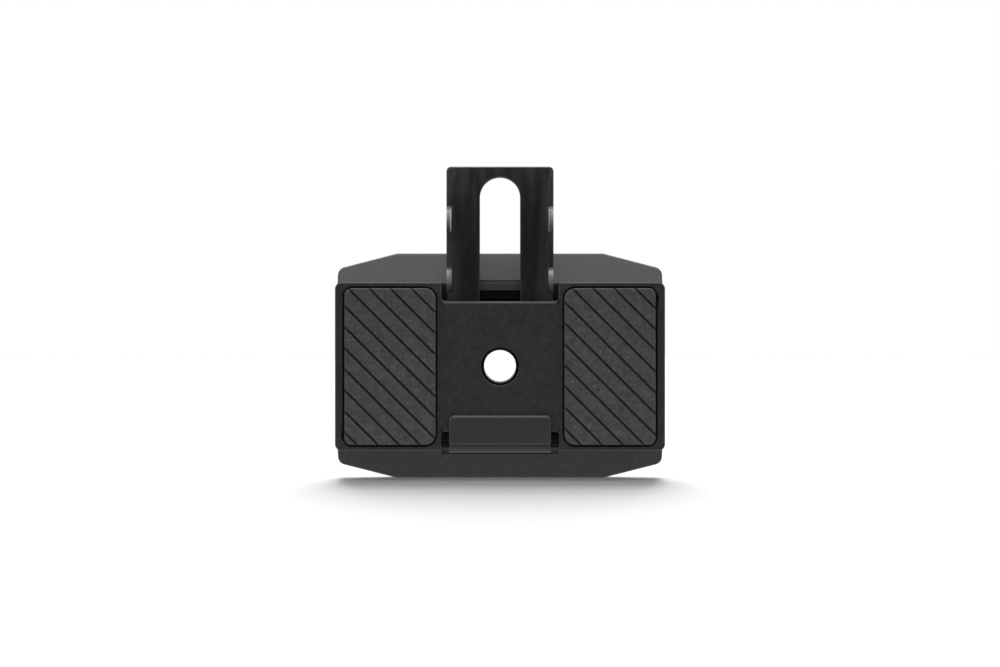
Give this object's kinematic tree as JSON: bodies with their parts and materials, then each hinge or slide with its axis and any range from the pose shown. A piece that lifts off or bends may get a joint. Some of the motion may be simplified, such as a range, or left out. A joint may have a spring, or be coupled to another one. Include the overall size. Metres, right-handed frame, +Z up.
{
  "type": "mounting block",
  "caption": "Clamp block with two grooved rubber pads, a through bolt bore, a sliding slotted tongue and a tipping release lever.",
  "frame": {"origin": "centre of the bolt bore on the flat rear face", "axes": "+X right across the block, +Y out of the flat rear face, so the padded front faces -Y, +Z up along the tongue's travel"},
  "size_m": [0.085, 0.0263, 0.0814],
  "materials": {
    "moulded_black": "fine moulded grain, satin black",
    "lever_black": "smooth moulded, satin black",
    "gloss_black": "gloss black coating",
    "pad_rubber": "moulded rubber, matt dark grey",
    "gasket_rubber": "matt black sheet",
    "adhesive_film": "dark adhesive film",
    "guide_plastic": "waxy off-white",
    "spring_steel": "bright rolled spring strip",
    "plated_steel": "zinc plated",
    "blackened_steel": "black oxide, oiled",
    "insert_brass": "turned and knurled"
  },
  "bodies": {
    "block": {"front_plate": "moulded_black", "rear_housing": "moulded_black", "rear_gasket": "gasket_rubber", "left_pad": "pad_rubber", "right_pad": "pad_rubber", "left_pad_tape": "adhesive_film", "right_pad_tape": "adhesive_film", "left_guide_strip": "guide_plastic", "right_guide_strip": "guide_plastic", "friction_spring": "spring_steel", "detent_spring": "spring_steel", "detent_screws": "plated_steel", "lever_pin": "blackened_steel", "spacer_sleeve": "blackened_steel", "threaded_inserts": "insert_brass", "housing_screws": "blackened_steel", "locating_dowels": "plated_steel"},
    "tongue": {"slide_tongue": "gloss_black"},
    "lever": {"release_lever": "lever_black"}
  },
  "joints": [
    {"name": "tongue_slide", "type": "slide", "parent": "block", "child": "tongue", "axis": [0, 0, 1], "range_m": [-0.0436, 0]},
    {"name": "lever_tip", "type": "hinge", "parent": "block", "child": "lever", "pos_m": [0, -0.0219, -0.0204], "axis": [1, 0, 0], "range_deg": [0, 8], "stiffness_Nm_per_rad": 0.4, "deforming": ["detent_spring"]}
  ]
}
